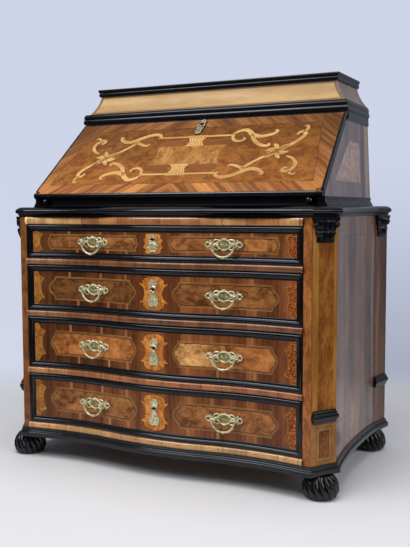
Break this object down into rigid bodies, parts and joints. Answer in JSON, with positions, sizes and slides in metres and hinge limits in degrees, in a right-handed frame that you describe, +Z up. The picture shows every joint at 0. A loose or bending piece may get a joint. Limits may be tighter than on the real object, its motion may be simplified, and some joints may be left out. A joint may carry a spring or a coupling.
{
  "type": "slant-front desk",
  "caption": "Serpentine-fronted slant-front desk with canted corners, bun feet, black mouldings, brass bail handles and a fall that opens over a nest of compartments.",
  "frame": {"origin": "on the floor under the middle of the desk's footprint", "axes": "+Z up, +Y to the back of the desk, +X to the right of someone facing the drawers"},
  "size_m": [1.0338, 0.59, 1.1338],
  "materials": {
    "blackened_wood": "blackened and polished",
    "walnut_veneer": "polished walnut and burl veneer",
    "plain_wood": "plain planed softwood",
    "brass": "cast and worn bright",
    "iron": "dark forged iron"
  },
  "bodies": {
    "desk": {"foot_front_left": "blackened_wood", "foot_front_right": "blackened_wood", "foot_rear_left": "blackened_wood", "foot_rear_right": "blackened_wood", "plinth_moulding": "blackened_wood", "pilaster_capitals": "blackened_wood", "pilaster_blocks": "blackened_wood", "chest_top": "blackened_wood", "desk_base": "blackened_wood", "waist_moulding": "blackened_wood", "hood_top": "blackened_wood", "chest_side_left": "walnut_veneer", "chest_side_right": "walnut_veneer", "corner_posts": "walnut_veneer", "top_rail": "walnut_veneer", "drawer_rails": "walnut_veneer", "bottom_rail": "walnut_veneer", "desk_side_left": "walnut_veneer", "desk_side_right": "walnut_veneer", "hood_cove": "walnut_veneer", "chest_bottom": "plain_wood", "chest_back": "plain_wood", "drawer_runners": "plain_wood", "desk_back": "plain_wood", "writing_bed": "plain_wood", "desk_ceiling": "plain_wood", "pigeonhole_nest": "plain_wood", "fall_pivot_pins": "iron"},
    "drawer_1": {"drawer_1_front": "walnut_veneer", "drawer_1_frame": "blackened_wood", "drawer_1_box": "plain_wood", "drawer_1_mounts": "brass"},
    "drawer_1_bail_left": {"drawer_1_bail_left": "brass"},
    "drawer_1_bail_right": {"drawer_1_bail_right": "brass"},
    "drawer_2": {"drawer_2_front": "walnut_veneer", "drawer_2_frame": "blackened_wood", "drawer_2_box": "plain_wood", "drawer_2_mounts": "brass"},
    "drawer_2_bail_left": {"drawer_2_bail_left": "brass"},
    "drawer_2_bail_right": {"drawer_2_bail_right": "brass"},
    "drawer_3": {"drawer_3_front": "walnut_veneer", "drawer_3_frame": "blackened_wood", "drawer_3_box": "plain_wood", "drawer_3_mounts": "brass"},
    "drawer_3_bail_left": {"drawer_3_bail_left": "brass"},
    "drawer_3_bail_right": {"drawer_3_bail_right": "brass"},
    "drawer_4": {"drawer_4_front": "walnut_veneer", "drawer_4_frame": "blackened_wood", "drawer_4_box": "plain_wood", "drawer_4_mounts": "brass"},
    "drawer_4_bail_left": {"drawer_4_bail_left": "brass"},
    "drawer_4_bail_right": {"drawer_4_bail_right": "brass"},
    "fall": {"fall_panel": "walnut_veneer", "fall_edging": "blackened_wood", "fall_lock": "brass"},
    "fall_bolt": {"fall_bolt": "iron"},
    "loper_left": {"loper_left": "blackened_wood"},
    "nest_drawer_left": {"nest_drawer_left": "plain_wood"},
    "loper_right": {"loper_right": "blackened_wood"},
    "nest_drawer_right": {"nest_drawer_right": "plain_wood"}
  },
  "joints": [
    {"name": "drawer_1_slide", "type": "slide", "parent": "desk", "child": "drawer_1", "axis": [0, -1, 0], "range_m": [0, 0.34]},
    {"name": "drawer_1_bail_left_hinge", "type": "hinge", "parent": "drawer_1", "child": "drawer_1_bail_left", "pos_m": [-0.20807, -0.27548, 0.64945], "axis": [-0.9971, 0.0764, 0], "range_deg": [0, 95]},
    {"name": "drawer_1_bail_right_hinge", "type": "hinge", "parent": "drawer_1", "child": "drawer_1_bail_right", "pos_m": [0.20807, -0.27548, 0.64945], "axis": [-0.9971, -0.0764, 0], "range_deg": [0, 95]},
    {"name": "drawer_2_slide", "type": "slide", "parent": "desk", "child": "drawer_2", "axis": [0, -1, 0], "range_m": [0, 0.34]},
    {"name": "drawer_2_bail_left_hinge", "type": "hinge", "parent": "drawer_2", "child": "drawer_2_bail_left", "pos_m": [-0.20807, -0.27548, 0.51295], "axis": [-0.9971, 0.0764, 0], "range_deg": [0, 95]},
    {"name": "drawer_2_bail_right_hinge", "type": "hinge", "parent": "drawer_2", "child": "drawer_2_bail_right", "pos_m": [0.20807, -0.27548, 0.51295], "axis": [-0.9971, -0.0764, 0], "range_deg": [0, 95]},
    {"name": "drawer_3_slide", "type": "slide", "parent": "desk", "child": "drawer_3", "axis": [0, -1, 0], "range_m": [0, 0.34]},
    {"name": "drawer_3_bail_left_hinge", "type": "hinge", "parent": "drawer_3", "child": "drawer_3_bail_left", "pos_m": [-0.20807, -0.27548, 0.3502], "axis": [-0.9971, 0.0764, 0], "range_deg": [0, 95]},
    {"name": "drawer_3_bail_right_hinge", "type": "hinge", "parent": "drawer_3", "child": "drawer_3_bail_right", "pos_m": [0.20807, -0.27548, 0.3502], "axis": [-0.9971, -0.0764, 0], "range_deg": [0, 95]},
    {"name": "drawer_4_slide", "type": "slide", "parent": "desk", "child": "drawer_4", "axis": [0, -1, 0], "range_m": [0, 0.34]},
    {"name": "drawer_4_bail_left_hinge", "type": "hinge", "parent": "drawer_4", "child": "drawer_4_bail_left", "pos_m": [-0.20807, -0.27548, 0.18095], "axis": [-0.9971, 0.0764, 0], "range_deg": [0, 95]},
    {"name": "drawer_4_bail_right_hinge", "type": "hinge", "parent": "drawer_4", "child": "drawer_4_bail_right", "pos_m": [0.20807, -0.27548, 0.18095], "axis": [-0.9971, -0.0764, 0], "range_deg": [0, 95]},
    {"name": "fall_hinge", "type": "hinge", "parent": "desk", "child": "fall", "pos_m": [0, -0.199, 0.7837], "axis": [1, 0, 0], "range_deg": [0, 138.3]},
    {"name": "fall_bolt_slide", "type": "slide", "parent": "fall", "child": "fall_bolt", "axis": [0, 0.7466, 0.6652], "range_m": [0, 0.008]},
    {"name": "loper_left_slide", "type": "slide", "parent": "desk", "child": "loper_left", "axis": [0, -1, 0], "range_m": [0, 0.17]},
    {"name": "nest_drawer_left_slide", "type": "slide", "parent": "desk", "child": "nest_drawer_left", "axis": [0, -1, 0], "range_m": [0, 0.14]},
    {"name": "loper_right_slide", "type": "slide", "parent": "desk", "child": "loper_right", "axis": [0, -1, 0], "range_m": [0, 0.17]},
    {"name": "nest_drawer_right_slide", "type": "slide", "parent": "desk", "child": "nest_drawer_right", "axis": [0, -1, 0], "range_m": [0, 0.14]}
  ]
}
